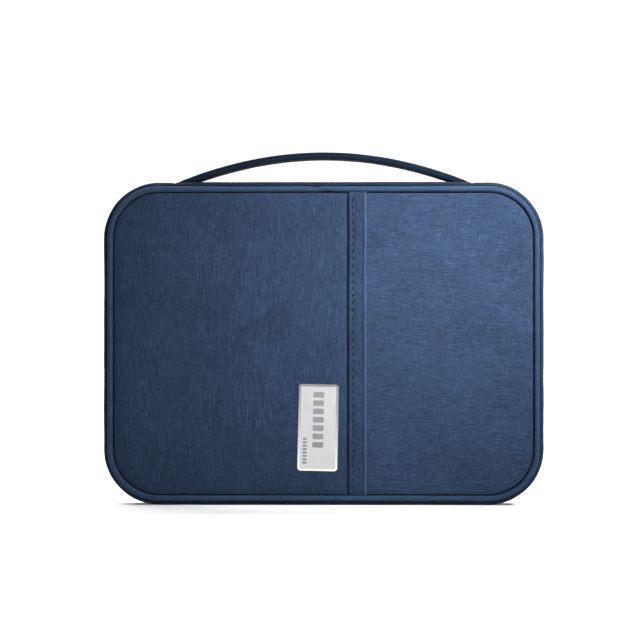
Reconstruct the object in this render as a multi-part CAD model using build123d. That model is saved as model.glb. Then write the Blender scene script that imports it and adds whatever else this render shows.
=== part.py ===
from build123d import *
import os

# A padded travel document organizer: two soft covers joined by a spine with a strap handle,
# closed on the other three sides by a zip. It stands upright on the gusset opposite the spine:
# X runs along the spine, Y from the front cover to the back cover, Z up to the handle.

# Whole case
case_width = 260.0  # along X, over the bulge of the gusset
case_height = 190.5  # from the bottom of the gusset to the top of the spine
case_depth = 28.0  # between the outer sides of the two pipings
corner_radius = 33.0  # of the gusset's outline

# Gusset, piping and zip, as depths below the gusset's outline and distances from the middle plane
gusset_flare = 2.4  # how far the gusset stands past the piping
gusset_thickness = 1.0
gusset_hem = 3.2  # hemmed edge beside the zip
zip_recess = 2.6  # depth of that hem below the ridge
piping_diameter = 3.5
piping_play = 0.25  # between the piping and the gusset's edge
gusset_edge = case_depth / 2 - piping_diameter - piping_play
gusset_ridge_out = gusset_edge - 0.55  # the flat ridge of the gusset lies between these two
gusset_ridge_in = gusset_hem + 3.0
tape_thickness = 0.5
tape_width = 3.6
coil_gap = 0.4  # half the gap that the slider's web runs in
coil_width = 1.6
coil_height = 1.5

# Spine and handle
spine_end_margin = 9.0  # from the spine's end to where the corner starts to turn
spine_length = case_width - 2 * (corner_radius + spine_end_margin)
spine_width = case_depth - 8.0
spine_fabric = 1.0
spine_board = 1.2
spine_lining_thickness = 0.6
end_gap = 0.6  # between the spine's ends and the gussets
handle_span = spine_length - 6.0
handle_rise = 17.8  # top of the strap above the spine
handle_width = spine_width - 2.0
handle_thickness = 3.8
handle_end_run = 20.0  # how much of each end stays with the spine
handle_seam = 0.4  # space between the strap and its sewn ends

# Covers
panel_thickness = 1.1
front_foam_thickness = 2.5
back_foam_thickness = 3.0
lining_thickness = 0.6
layer_gap = 0.1
seam_gap = 0.15  # between a panel's edge and the piping
pocket_mouth = 14.5  # where the front pocket panel ends along X
band_width = 11.2
pocket_depth = 1.0  # space in the front pocket

# Inner pockets
pocket_fabric = 0.5
pocket_side_margin = 22.0  # from the case's side to the closed ends of the pockets
card_slot_count = 3
card_slot_length = 88.0  # of the shortest, nearest slot
card_slot_step = 22.0
card_slot_width = 90.0
passport_pocket_length = 132.0
passport_pocket_width = 94.0
window_pocket_length = 148.0
narrow_pocket_length = 138.0
pen_loop_z = 18.0
pen_loop_width = 15.0
pen_loop_x = 78.0
pen_loop_length = 20.0

# Divider page
page_thickness = 1.0
page_flap_width = spine_length - 8.0
page_flap_length = 20.0
page_inset = 9.0

# Label plate
label_width = 23.5
label_length = 51.0
label_thickness = 0.9
label_rim = 1.3
label_rim_height = 0.3
label_tilt = 1.2
label_x = pocket_mouth - 17.5
label_z = 45.8
prong_size = 1.2

# Slider and pull
slider_length = 10.0
slider_width = 5.6
slider_plate = 1.0
slider_play = 0.15
slider_park = 9.5  # from the slider's middle to where the upper corner starts to turn
slider_z = case_height - corner_radius - slider_park
bridge_width = 1.2
bridge_reach = 3.0
pull_length = 26.0
pull_width = 5.4
pull_thickness = 1.1
pull_eye = 7.0
pin_radius = 0.35

half_width = case_width / 2
half_depth = case_depth / 2
middle_z = case_height / 2
piping_radius = piping_diameter / 2
piping_y = half_depth - piping_radius
piping_depth = gusset_flare + piping_radius  # depth of the piping's centre line
panel_inset = gusset_flare + piping_diameter + seam_gap
lining_inset = panel_inset + 1.0
zip_end = spine_length / 2 + end_gap
coil_top = zip_recess + gusset_thickness - coil_height / 2 + 0.35


def slab(inset, y_low, y_high):
    """A flat layer with the case's rounded outline, inset from it."""
    face_plane = Plane(origin=(0, y_high, middle_z), x_dir=(1, 0, 0), z_dir=(0, -1, 0))
    outline = face_plane * RectangleRounded(
        case_width - 2 * inset, case_height - 2 * inset, corner_radius - inset
    )
    return extrude(outline, amount=y_high - y_low)


def block(x_low, x_high, y_low, y_high, z_low, z_high):
    """A plain box given by its limits."""
    centre = ((x_low + x_high) / 2, (y_low + y_high) / 2, (z_low + z_high) / 2)
    return Pos(*centre) * Box(x_high - x_low, y_high - y_low, z_high - z_low)


def rounded_block(x_low, x_high, y_low, y_high, z_low, z_high, radius):
    """A flat piece with rounded corners, seen from the front."""
    face_plane = Plane(
        origin=((x_low + x_high) / 2, y_high, (z_low + z_high) / 2), x_dir=(1, 0, 0), z_dir=(0, -1, 0)
    )
    outline = face_plane * RectangleRounded(x_high - x_low, z_high - z_low, radius)
    return extrude(outline, amount=y_high - y_low)


def outline_path(start_x):
    """The open line round the three zipped sides, from the spine's left end to its right end."""
    corners = [
        (-start_x, 0, case_height),
        (-half_width, 0, case_height),
        (-half_width, 0, 0),
        (half_width, 0, 0),
        (half_width, 0, case_height),
        (start_x, 0, case_height),
    ]
    return FilletPolyline(*corners, radius=corner_radius)


def swept_band(section, start_x=zip_end):
    """Sweep a section, drawn as (outward, Y), round the zipped sides."""
    start_plane = Plane(origin=(-start_x, 0, case_height), x_dir=(0, 0, 1), z_dir=(-1, 0, 0))
    return sweep(start_plane * section, path=outline_path(start_x))


def section_box(depth_low, depth_high, y_low, y_high):
    """A rectangle between two depths below the outline and two distances from the middle plane."""
    centre = (-(depth_low + depth_high) / 2, (y_low + y_high) / 2)
    return Pos(*centre) * Rectangle(depth_high - depth_low, abs(y_high - y_low))


def gusset_section(side):
    """The gusset's section on one side of the zip: a flat ridge with a curved flank each way."""
    wall = gusset_thickness
    piping_edge = (-gusset_flare - 0.5, side * gusset_edge)
    flank_mid = (-0.95, side * (gusset_ridge_out + 0.9 * (gusset_edge - gusset_ridge_out)))
    ridge_out = (0, side * gusset_ridge_out)
    ridge_in = (0, side * gusset_ridge_in)
    hem_mid = (-0.29 * zip_recess, side * ((gusset_ridge_in + gusset_hem) / 2 - 0.2))
    hem = (-zip_recess, side * gusset_hem)
    inner_hem = (hem[0] - wall, hem[1])
    inner_mid = (hem_mid[0] - wall, hem_mid[1])
    inner_ridge_in = (-wall, ridge_in[1])
    inner_ridge_out = (-wall, side * (gusset_ridge_out - wall / 2))
    inner_edge = (piping_edge[0], side * (gusset_edge - wall))
    edges = [
        ThreePointArc(piping_edge, flank_mid, ridge_out),
        Line(ridge_out, ridge_in),
        ThreePointArc(ridge_in, hem_mid, hem),
        Line(hem, inner_hem),
        ThreePointArc(inner_hem, inner_mid, inner_ridge_in),
        Line(inner_ridge_in, inner_ridge_out),
        Line(inner_ridge_out, inner_edge),
        Line(inner_edge, piping_edge),
    ]
    return make_face(edges)


def gusset(side):
    """One half of the band between the piping and the zip."""
    return swept_band(gusset_section(side))


def zip_tape(side):
    """The woven tape that carries the coil, tucked under the gusset's hem."""
    top = zip_recess + gusset_thickness + layer_gap
    inner = coil_gap + coil_width + 0.1
    return swept_band(section_box(top, top + tape_thickness, side * inner, side * (inner + tape_width)))


def zip_coil(side):
    """The coil of teeth on one tape."""
    y_inner = side * coil_gap
    y_outer = side * (coil_gap + coil_width)
    return swept_band(section_box(coil_top, coil_top + coil_height, y_inner, y_outer), zip_end + 2.2)


def zip_stop(side, end):
    """The clip crimped on the coil's end beside the spine."""
    y_inner = side * (coil_gap + 0.05)
    y_outer = side * (coil_gap + coil_width)
    top = case_height - coil_top + 0.2
    x_near = end * (zip_end + 0.2)
    x_far = end * (zip_end + 2.1)
    y_pair = sorted((y_inner, y_outer))
    x_pair = sorted((x_near, x_far))
    return block(*x_pair, *y_pair, top - coil_height - 0.4, top)


def piping(side):
    """The round cord sewn in the seam round one cover."""
    path = Plane(origin=(0, side * piping_y, middle_z), x_dir=(1, 0, 0), z_dir=(0, -1, 0)) * RectangleRounded(
        case_width - 2 * piping_depth, case_height - 2 * piping_depth, corner_radius - piping_depth
    )
    start = (0, side * piping_y, case_height - piping_depth)
    section = Plane(origin=start, z_dir=(1, 0, 0)) * Circle(piping_radius)
    return sweep(section, path=path.wire())


front_faces = {}
layer_y = half_depth + 0.4
front_faces["pocket_panel"] = (-layer_y, -layer_y + panel_thickness)
layer_y -= panel_thickness + pocket_depth
front_faces["backing"] = (-layer_y, -layer_y + panel_thickness - 0.2)
layer_y -= panel_thickness - 0.2 + layer_gap
front_faces["foam"] = (-layer_y, -layer_y + front_foam_thickness)
layer_y -= front_foam_thickness + layer_gap
front_faces["lining"] = (-layer_y, -layer_y + lining_thickness)
front_lining_y = -layer_y + lining_thickness

layer_y = half_depth - 0.4
back_faces = {}
back_faces["panel"] = (layer_y - panel_thickness, layer_y)
layer_y -= panel_thickness + layer_gap
back_faces["foam"] = (layer_y - back_foam_thickness, layer_y)
layer_y -= back_foam_thickness + layer_gap
back_faces["lining"] = (layer_y - lining_thickness, layer_y)
back_lining_y = layer_y - lining_thickness


def split_cover(inset, faces, x_low, x_high):
    """The part of a cover's layer between two places along X."""
    whole = slab(inset, *faces)
    return whole & block(x_low, x_high, faces[0] - 1, faces[1] + 1, -1, case_height + 1)


def label_place():
    """Where the label plate's middle sits on the pocket panel."""
    return Pos(label_x, front_faces["pocket_panel"][0], label_z) * Rot(0, label_tilt, 0)


def prongs(size, reach):
    """The two bent legs behind the label plate."""
    legs = []
    for up in (-1, 1):
        legs.append(Pos(0, reach / 2, up * label_length * 0.36) * Box(size, reach, size))
    return legs


def front_pocket_panel():
    """The large outer pocket's face, pierced for the label's legs."""
    panel = split_cover(panel_inset, front_faces["pocket_panel"], -half_width, pocket_mouth - 0.3)
    for hole in prongs(prong_size + 0.4, panel_thickness * 3):
        panel -= label_place() * Pos(0, -panel_thickness, 0) * hole
    return panel


def pocket_band():
    """The hem band along the pocket's mouth."""
    low, high = front_faces["pocket_panel"]
    return split_cover(panel_inset, (low + 0.2, high), pocket_mouth, pocket_mouth + band_width)


def label_plate():
    """The metal plate: a flat face inside a raised rim, with two legs through the fabric."""
    plate = Pos(0, -label_thickness / 2, 0) * Rot(90, 0, 0) * extrude(
        RectangleRounded(label_width, label_length, 2.0), amount=label_thickness / 2, both=True
    )
    well = Rot(90, 0, 0) * extrude(
        RectangleRounded(label_width - 2 * label_rim, label_length - 2 * label_rim, 0.9),
        amount=label_rim_height,
    )
    plate -= Pos(0, -label_thickness + label_rim_height, 0) * well
    for leg in prongs(prong_size, panel_thickness + 0.5):
        plate += leg
    return label_place() * plate


def label_washer():
    """The thin plate inside the pocket that the label's legs clinch."""
    washer = Rot(90, 0, 0) * extrude(RectangleRounded(label_width * 0.75, label_length * 0.88, 1.5), amount=0.3)
    washer = Pos(0, panel_thickness + 0.45, 0) * washer
    for hole in prongs(prong_size + 0.2, panel_thickness * 3):
        washer -= hole
    return label_place() * washer


pocket_left = -half_width + pocket_side_margin
card_slot_top = case_height - lining_inset - 8
card_slot_bottom = card_slot_top - card_slot_width
passport_pocket_top = card_slot_top - 3.4
passport_pocket_bottom = passport_pocket_top - passport_pocket_width


def card_slot(index):
    """One of the stepped card slots, each in front of the one before."""
    face = back_lining_y - layer_gap - (pocket_fabric + layer_gap) * (index + 1)
    right = pocket_left + card_slot_length + card_slot_step * (card_slot_count - 1 - index)
    return rounded_block(pocket_left, right, face - pocket_fabric, face, card_slot_bottom, card_slot_top, 3)


def document_pocket():
    """The large slip pocket on the back cover's lining."""
    face = back_lining_y - layer_gap
    return split_cover(lining_inset + 1, (face - pocket_fabric, face), -half_width, pen_loop_x - 16)


def narrow_pocket():
    """The slip pocket below the card slots, for keys or a pencil."""
    face = back_lining_y - layer_gap - (pocket_fabric + layer_gap)
    right = pocket_left + narrow_pocket_length
    low = pen_loop_z + pen_loop_width + 3
    return rounded_block(pocket_left, right, face - pocket_fabric, face, low, card_slot_bottom - 4.4, 3)


def pen_loop():
    """A flat elastic loop that holds a pen along the zipped edge."""
    face = back_lining_y - 0.1
    free_face = page_thickness / 2 + pocket_fabric + 1.7
    right = pen_loop_x + pen_loop_length
    top = pen_loop_z + pen_loop_width
    outer = block(pen_loop_x, right, free_face, face, pen_loop_z, top)
    inner = block(pen_loop_x - 1, right + 1, free_face + 0.7, face - 0.7, pen_loop_z + 0.8, top - 0.8)
    return outer - inner


def ticket_pocket():
    """The large slip pocket on the front cover's lining."""
    face = front_lining_y + layer_gap
    return split_cover(lining_inset + 1, (face, face + pocket_fabric), -half_width, 70.0)


def passport_pocket():
    """The slip pocket in front of the ticket pocket, wide enough for a passport."""
    face = front_lining_y + 2 * layer_gap + pocket_fabric
    right = pocket_left + passport_pocket_length
    return rounded_block(
        pocket_left, right, face, face + pocket_fabric, passport_pocket_bottom, passport_pocket_top, 4
    )


def window_pocket():
    """The clear pocket below the passport pocket."""
    face = front_lining_y + 2 * layer_gap + pocket_fabric
    right = pocket_left + window_pocket_length
    return rounded_block(pocket_left, right, face, face + 0.4, 16, passport_pocket_bottom - 6, 4)


spine_top = case_height
spine_board_top = spine_top - spine_fabric - layer_gap
spine_lining_top = spine_board_top - spine_board - layer_gap
page_top = spine_lining_top - spine_lining_thickness - 0.6


def spine_panel():
    """The outer fabric of the spine."""
    return block(
        -spine_length / 2, spine_length / 2, -spine_width / 2, spine_width / 2, spine_top - spine_fabric, spine_top
    )


def spine_stiffener():
    """The board that keeps the spine square."""
    reach = spine_length / 2 - 4
    wide = spine_width / 2 - 1.5
    return block(-reach, reach, -wide, wide, spine_board_top - spine_board, spine_board_top)


def spine_lining():
    """The inner fabric of the spine."""
    reach = spine_length / 2 - 2
    wide = spine_width / 2 - 1
    return block(-reach, reach, -wide, wide, spine_lining_top - spine_lining_thickness, spine_lining_top)


def handle_arch():
    """The whole strap: an arch of even thickness between its sewn ends."""
    reach = handle_span / 2
    low = case_height + layer_gap
    top = case_height + handle_rise
    outer = Spline((-reach, low), (0, top), (reach, low), tangents=[(1, 0.42), (1, 0), (1, -0.42)])
    inner_reach = reach - handle_thickness * 2.8
    inner = Spline(
        (inner_reach, low),
        (0, top - handle_thickness),
        (-inner_reach, low),
        tangents=[(-1, 0.36), (-1, 0), (-1, -0.36)],
    )
    ends = [Line((reach, low), (inner_reach, low)), Line((-inner_reach, low), (-reach, low))]
    section = make_face([outer, inner] + ends)
    upright = Plane(origin=(0, handle_width / 2, 0), x_dir=(1, 0, 0), z_dir=(0, -1, 0)) * section
    return extrude(upright, amount=handle_width)


handle_cut = handle_span / 2 - handle_end_run


def handle_strap():
    """The free middle of the strap."""
    keep = handle_cut - handle_seam
    return handle_arch() & block(-keep, keep, -handle_width, handle_width, case_height, case_height + 40)


def handle_end(side):
    """The end of the strap that is sewn to the spine."""
    x_pair = sorted((side * handle_cut, side * handle_span))
    return handle_arch() & block(*x_pair, -handle_width, handle_width, case_height, case_height + 40)


def divider_page():
    """The stiff page, with a narrower flap where it is sewn to the spine."""
    flap_bottom = page_top - page_flap_length
    flap = block(
        -page_flap_width / 2,
        page_flap_width / 2,
        -page_thickness / 2,
        page_thickness / 2,
        flap_bottom - 30,
        page_top,
    )
    page_faces = (-page_thickness / 2, page_thickness / 2)
    leaf = slab(page_inset, *page_faces)
    leaf &= block(-half_width, half_width, -2, 2, 0, flap_bottom)
    return leaf + flap


def divider_pocket(side):
    """The slip pocket on one face of the page."""
    near = side * (page_thickness / 2 + 0.05)
    far = near + side * pocket_fabric
    y_pair = sorted((near, far))
    left = pocket_left - 4
    return rounded_block(left, 66, *y_pair, 16, page_top - page_flap_length - 8, 6)


def slider():
    """The zip slider: two plates joined by a web between the coils, with a bridge for the pull."""
    x_out = half_width - coil_top + slider_play + slider_plate
    x_in = half_width - coil_top - coil_height - slider_play - slider_plate
    half_long = slider_length / 2
    wide = slider_width / 2
    low, high = slider_z - half_long, slider_z + half_long
    outer = block(x_out - slider_plate, x_out, -wide, wide, low, high)
    inner = block(x_in, x_in + slider_plate, -wide, wide, low, high)
    outer = fillet(outer.edges().filter_by(Axis.X), 1.6)
    inner = fillet(inner.edges().filter_by(Axis.X), 1.6)
    web = block(x_in, x_out, -0.25, 0.25, slider_z, high - 1.5)
    bar_in = x_out + 2 * pin_radius + 0.3
    bar_low, bar_high = slider_z - bridge_reach, slider_z + bridge_reach
    bar = block(bar_in, bar_in + 0.8, -bridge_width / 2, bridge_width / 2, bar_low, bar_high)
    posts = []
    for end in (-1, 1):
        z_pair = sorted((slider_z + end * bridge_reach, slider_z + end * (bridge_reach - 0.8)))
        posts.append(block(x_out - 0.2, bar_in + 0.2, -bridge_width / 2, bridge_width / 2, *z_pair))
    return outer + inner + web + bar + posts[0] + posts[1]


pin_x = half_width - coil_top + slider_play + slider_plate + pin_radius + 0.15
pin_z = slider_z - bridge_reach + 0.8 + pin_radius + 0.15


def zip_pull():
    """The pull: a tab with an eye whose cross bar turns under the slider's bridge."""
    bar = Pos(pin_x, 0, pin_z) * Rot(90, 0, 0) * Cylinder(pin_radius, pull_width)
    tab_top = pin_z - pull_eye
    tab_bottom = pin_z - pull_length
    tab = block(
        pin_x - pull_thickness / 2, pin_x + pull_thickness / 2, -pull_width / 2, pull_width / 2, tab_bottom, tab_top
    )
    tab = fillet(tab.edges().filter_by(Axis.X), 1.2)
    arms = []
    for side in (-1, 1):
        y_pair = sorted((side * pull_width / 2, side * (bridge_width / 2 + 0.5)))
        arms.append(block(pin_x - pin_radius, pin_x + pin_radius, *y_pair, tab_top - 1, pin_z))
    return tab + bar + arms[0] + arms[1]


os.makedirs("parts", exist_ok=True)

nodes = {
    "back_panel": slab(panel_inset, *back_faces["panel"]),
    "back_foam": slab(panel_inset + 1.0, *back_faces["foam"]),
    "back_lining": slab(lining_inset, *back_faces["lining"]),
    "back_piping": piping(1),
    "back_gusset": gusset(1),
    "back_zip_tape": zip_tape(1),
    "back_zip_coil": zip_coil(1),
    "back_stop_left": zip_stop(1, -1),
    "back_stop_right": zip_stop(1, 1),
    "document_pocket": document_pocket(),
    "narrow_pocket": narrow_pocket(),
    "pen_loop": pen_loop(),
    "spine_panel": spine_panel(),
    "spine_stiffener": spine_stiffener(),
    "spine_lining": spine_lining(),
    "handle_end_left": handle_end(-1),
    "handle_end_right": handle_end(1),
    "handle_strap": handle_strap(),
    "front_panel": slab(panel_inset, *front_faces["backing"]),
    "front_pocket_panel": front_pocket_panel(),
    "pocket_band": pocket_band(),
    "front_foam": slab(panel_inset + 1.0, *front_faces["foam"]),
    "front_lining": slab(lining_inset, *front_faces["lining"]),
    "front_piping": piping(-1),
    "front_gusset": gusset(-1),
    "front_zip_tape": zip_tape(-1),
    "front_zip_coil": zip_coil(-1),
    "front_stop_left": zip_stop(-1, -1),
    "front_stop_right": zip_stop(-1, 1),
    "ticket_pocket": ticket_pocket(),
    "passport_pocket": passport_pocket(),
    "window_pocket": window_pocket(),
    "label_plate": label_plate(),
    "label_washer": label_washer(),
    "divider_page": divider_page(),
    "divider_pocket_front": divider_pocket(-1),
    "divider_pocket_back": divider_pocket(1),
    "zip_slider": slider(),
    "zip_pull": zip_pull(),
}
for index in range(card_slot_count):
    nodes[f"card_slot_{index + 1}"] = card_slot(index)

for name, shape in nodes.items():
    export_step(shape, f"parts/{name}.step")
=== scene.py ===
import math

import bmesh
import bpy
from mathutils import Matrix, Vector, noise


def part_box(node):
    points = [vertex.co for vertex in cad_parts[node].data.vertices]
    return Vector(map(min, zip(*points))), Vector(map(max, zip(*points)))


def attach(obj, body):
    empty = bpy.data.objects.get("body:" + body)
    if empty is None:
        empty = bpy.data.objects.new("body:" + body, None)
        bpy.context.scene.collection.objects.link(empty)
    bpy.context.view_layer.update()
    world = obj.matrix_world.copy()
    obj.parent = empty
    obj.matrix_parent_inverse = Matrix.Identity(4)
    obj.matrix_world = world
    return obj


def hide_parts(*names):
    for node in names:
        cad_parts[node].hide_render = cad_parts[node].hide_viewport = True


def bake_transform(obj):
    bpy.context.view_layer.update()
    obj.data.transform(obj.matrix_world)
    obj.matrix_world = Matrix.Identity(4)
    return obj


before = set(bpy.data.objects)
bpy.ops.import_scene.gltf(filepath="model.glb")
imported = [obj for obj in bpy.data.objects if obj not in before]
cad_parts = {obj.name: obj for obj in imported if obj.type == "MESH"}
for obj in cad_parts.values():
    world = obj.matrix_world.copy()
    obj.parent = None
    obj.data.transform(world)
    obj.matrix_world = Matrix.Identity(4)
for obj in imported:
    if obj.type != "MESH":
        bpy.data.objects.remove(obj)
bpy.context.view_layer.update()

# Sizes in millimetres. The case stands on its lower gusset, its front faces -Y.
MM = 0.001
half_width, _, height = [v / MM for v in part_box("back_gusset")[1]]
corner_radius = 33.0
corner_x = half_width - corner_radius
piping_radius = 1.75
piping_depth = 4.15  # below the gusset's outline
piping_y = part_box("back_piping")[1][1] / MM - piping_radius
panel_depth = 6.0  # where the covers' fabric meets the piping
mouth_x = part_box("pocket_band")[0][0] / MM
band_edge_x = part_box("pocket_band")[1][0] / MM
spine_half, spine_edge, spine_top = [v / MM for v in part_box("spine_panel")[1]]
handle_reach = 85.0
_, handle_half_width, handle_top = [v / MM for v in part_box("handle_strap")[1]]
handle_thickness = 3.8
label_low, label_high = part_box("label_plate")
label_front = label_low[1] / MM
label_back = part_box("front_pocket_panel")[0][1] / MM
lining_inset = half_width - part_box("back_lining")[1][0] / MM

HALVES = ((-1, "front_half", "front"), (1, "back_half", "back"))  # side, body, first word of names
SIM_SCALE = 10.0  # the cloth is simulated this many times larger
SIM_FRAMES = 24
CLOTH = {
    "vertex_group_mass": "pin", "quality": 6, "mass": 0.3, "tension_stiffness": 25,
    "compression_stiffness": 12, "shear_stiffness": 8, "bending_stiffness": 0.6,
    "use_pressure": True, "uniform_pressure_force": 0.6,
    "shrink_min": -0.0015,  # grows a little, so that it can bulge
}
PIN_WIDTH = 0.4  # how near to a seam a panel's points are held
SEAM_THREAD = 0.42
POCKET_THREAD = 0.35
BINDING_WIDTH = 2.6

# A stitch's bend: place along it, height in widths, and thickness as a share.
STITCH_BEND = (
    (-0.5, -0.5, 0.35), (-0.32, 0.12, 0.9), (0, 0.3, 1.0), (0.32, 0.12, 0.9), (0.5, -0.5, 0.35),
)


# ---------------------------------------------------------------- mesh building


class Build:
    """Collects faces in millimetres and turns them into one mesh object in metres."""

    def __init__(self):
        self.verts = []
        self.faces = []
        self.slots = []

    def grid(self, rows, slot=0, close_rows=False, close_columns=False):
        """Quads between rows of points; each row has the same count."""
        start = len(self.verts)
        count, total = len(rows[0]), len(rows)
        for row in rows:
            self.verts.extend(row)
        for i in range(total if close_rows else total - 1):
            here, there = start + i * count, start + (i + 1) % total * count
            for j in range(count if close_columns else count - 1):
                after = (j + 1) % count
                self.faces.append((here + j, here + after, there + after, there + j))
                self.slots.append(slot)
        return start

    def cap(self, first, count, slot=0):
        """One face over a ring of points."""
        self.faces.append(tuple(range(first, first + count)))
        self.slots.append(slot)

    def bar(self, rows, slot=0):
        """Rows of closed sections, with a cap on each end."""
        first, count = self.grid(rows, slot, close_columns=True), len(rows[0])
        self.cap(first, count, slot)
        self.cap(first + (len(rows) - 1) * count, count, slot)

    def tube(self, points, radii, sides=8, slot=0, closed=False, up=(0, -1, 0)):
        """A round tube through points; radii is one number or one for each point."""
        total = len(points)
        if not hasattr(radii, "__len__"):
            radii = [radii] * total
        rows = []
        for i, p in enumerate(points):
            before = Vector(points[i - 1] if i or closed else points[0])
            after = Vector(points[(i + 1) % total] if i < total - 1 or closed else points[-1])
            along = (after - before).normalized()
            side = along.cross(Vector(up)).normalized()
            top = side.cross(along)
            ring = []
            for k in range(sides):
                angle = 2 * math.pi * k / sides
                offset = side * math.cos(angle) + top * math.sin(angle)
                ring.append(tuple(Vector(p) + offset * radii[i]))
            rows.append(ring)
        if closed:
            self.grid(rows, slot, close_rows=True, close_columns=True)
        else:
            self.bar(rows, slot)

    def stitch(self, centre, along, up, length, width, slot):
        """One thread stitch: a short bent capsule that dives into the fabric at both ends."""
        centre, along, up = Vector(centre), Vector(along).normalized(), Vector(up).normalized()
        points = []
        radii = []
        for t, lift, share in STITCH_BEND:
            points.append(tuple(centre + along * (length * t) + up * (width * lift)))
            radii.append(width * 0.5 * share)
        self.tube(points, radii, 6, slot, up=tuple(up))

    def stitch_row(self, points, up, pitch, slot, length=None, width=0.5, slant=0.0):
        """Even stitches along a line of points. up is one vector or a function of a point."""
        length = length or pitch * 0.72
        walk = []
        total = 0.0
        for a, b in zip(points, points[1:]):
            run = (Vector(b) - Vector(a)).length
            walk.append((total, run, Vector(a), Vector(b)))
            total += run
        count = max(1, int(total / pitch))
        step = total / count
        part = 0
        for i in range(count):
            place = (i + 0.5) * step
            while part < len(walk) - 1 and walk[part][0] + walk[part][1] < place:
                part += 1
            base, run, a, b = walk[part]
            centre = a.lerp(b, (place - base) / max(run, 1e-9))
            along = (b - a).normalized()
            lift = Vector(up(centre) if callable(up) else up)
            across = along.cross(lift)
            self.stitch(centre, along + across * slant, lift, length, width, slot)

    def make(self, name, materials, smooth=True):
        mesh = bpy.data.meshes.new(name)
        mesh.from_pydata([(x * MM, y * MM, z * MM) for x, y, z in self.verts], [], self.faces)
        for polygon, slot in zip(mesh.polygons, self.slots):
            polygon.material_index = slot
            polygon.use_smooth = smooth
        for material in materials:
            mesh.materials.append(material)
        mesh.update()
        obj = bpy.data.objects.new(name, mesh)
        bpy.context.scene.collection.objects.link(obj)
        edit = bmesh.new()
        edit.from_mesh(mesh)
        bmesh.ops.remove_doubles(edit, verts=edit.verts, dist=1e-6)
        bmesh.ops.recalc_face_normals(edit, faces=edit.faces)
        edit.to_mesh(mesh)
        edit.free()
        return obj
def ripple(x, y, z, size, seed=0.0):
    """Smooth noise from -1 to 1 at a place in millimetres."""
    return noise.noise(Vector((x / size + seed, y / size + 2 * seed, z / size - seed)))


def smoothstep(t):
    """Eases from 0 to 1 as t does."""
    t = min(max(t, 0.0), 1.0)
    return t * t * (3 - 2 * t)


def bell(distance, width):
    """1 at no distance, falling smoothly to nothing."""
    return math.exp(-(distance / width) ** 2)


def straight(a, b, count):
    """Points from a to b, count steps apart."""
    return [tuple(p + (q - p) * i / count for p, q in zip(a, b)) for i in range(count + 1)]


def arc(centre, radius, first, steps):
    """Points round a quarter of a circle that starts at an angle in degrees."""
    points = []
    for k in range(steps + 1):
        angle = math.radians(first + 90 * k / steps)
        points.append((centre[0] + radius * math.cos(angle), centre[1] + radius * math.sin(angle)))
    return points


def subdivide(obj):
    """One round of subdivision."""
    modifier = obj.modifiers.new("round", "SUBSURF")
    modifier.levels = modifier.render_levels = 1
    return obj


def bevel(obj, width):
    """Rounds an object's sharp edges."""
    modifier = obj.modifiers.new("edge", "BEVEL")
    modifier.width = width * MM
    modifier.segments = 2
    modifier.limit_method = "ANGLE"
    modifier.angle_limit = math.radians(35)


# ---------------------------------------------------------------- outline


def outline(start_x, step):
    """Points (x, z, outward x, outward z) round the case from the spine's left to its right end."""
    points = []

    def line(a, b, normal):
        run = math.dist(a, b)
        count = max(1, round(run / step))
        for i in range(count):
            t = i / count
            points.append((a[0] + (b[0] - a[0]) * t, a[1] + (b[1] - a[1]) * t, *normal))

    def corner(centre, first):
        count = max(6, round(corner_radius * math.pi / 2 / step))
        for i in range(count):
            angle = math.radians(first + 90 * i / count)
            nx, nz = math.cos(angle), math.sin(angle)
            points.append((centre[0] + corner_radius * nx, centre[1] + corner_radius * nz, nx, nz))

    low, high = corner_radius, height - corner_radius
    line((-start_x, height), (-corner_x, height), (0, 1))
    corner((-corner_x, high), 90)
    line((-half_width, high), (-half_width, low), (-1, 0))
    corner((-corner_x, low), 180)
    line((-corner_x, 0), (corner_x, 0), (0, -1))
    corner((corner_x, low), 270)
    line((half_width, low), (half_width, high), (1, 0))
    corner((corner_x, high), 0)
    line((corner_x, height), (start_x, height), (0, 1))
    points.append((start_x, height, 0, 1))
    return points


def depth_inside(x, z, inset):
    """Distance from the outline, moved in by inset, to a place inside it."""
    over_x = abs(x) - corner_x
    over_z = max(corner_radius - z, z - (height - corner_radius))
    radius = corner_radius - inset
    if over_x > 0 and over_z > 0:
        return radius - math.hypot(over_x, over_z)
    return radius - max(over_x, over_z)

def band(build, path, section, slot=0, wave=None):
    """A closed section of (depth, y) points carried along the outline."""
    rows = []
    for x, z, nx, nz in path:
        row = []
        for depth, y in section:
            inward, shift = wave(x, y, z) if wave else (0.0, 0.0)
            d = depth - inward
            row.append((x - nx * d, y + shift, z - nz * d))
        rows.append(row)
    build.bar(rows, slot)


# ---------------------------------------------------------------- materials


def fill(tree, node, sockets):
    """Sets each socket to its value, or links it to the output given for it."""
    for key, value in sockets.items():
        if isinstance(value, bpy.types.NodeSocket):
            tree.links.new(value, node.inputs[key])
        else:
            node.inputs[key].default_value = value


def add(tree, kind, sockets, **settings):
    """A new node with its settings and sockets filled in."""
    node = tree.nodes.new(kind)
    for key, value in settings.items():
        setattr(node, key, value)
    fill(tree, node, sockets)
    return node


def node_set(name):
    """A new material, its tree, its shader, and object coordinates for its patterns."""
    material = bpy.data.materials.new(name)
    material.use_nodes = True
    tree = material.node_tree
    place = add(tree, "ShaderNodeTexCoord", {}).outputs["Object"]
    return material, tree, tree.nodes["Principled BSDF"], place


def noise_at(tree, place, scale, detail=2.0, roughness=0.5):
    """Noise with its own stretch: scale is repeats in each metre along X, Y and Z."""
    mapped = add(tree, "ShaderNodeMapping", {"Vector": place, "Scale": scale}).outputs["Vector"]
    sockets = {"Vector": mapped, "Scale": 1.0, "Detail": detail, "Roughness": roughness}
    return add(tree, "ShaderNodeTexNoise", sockets).outputs["Fac"]


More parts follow.
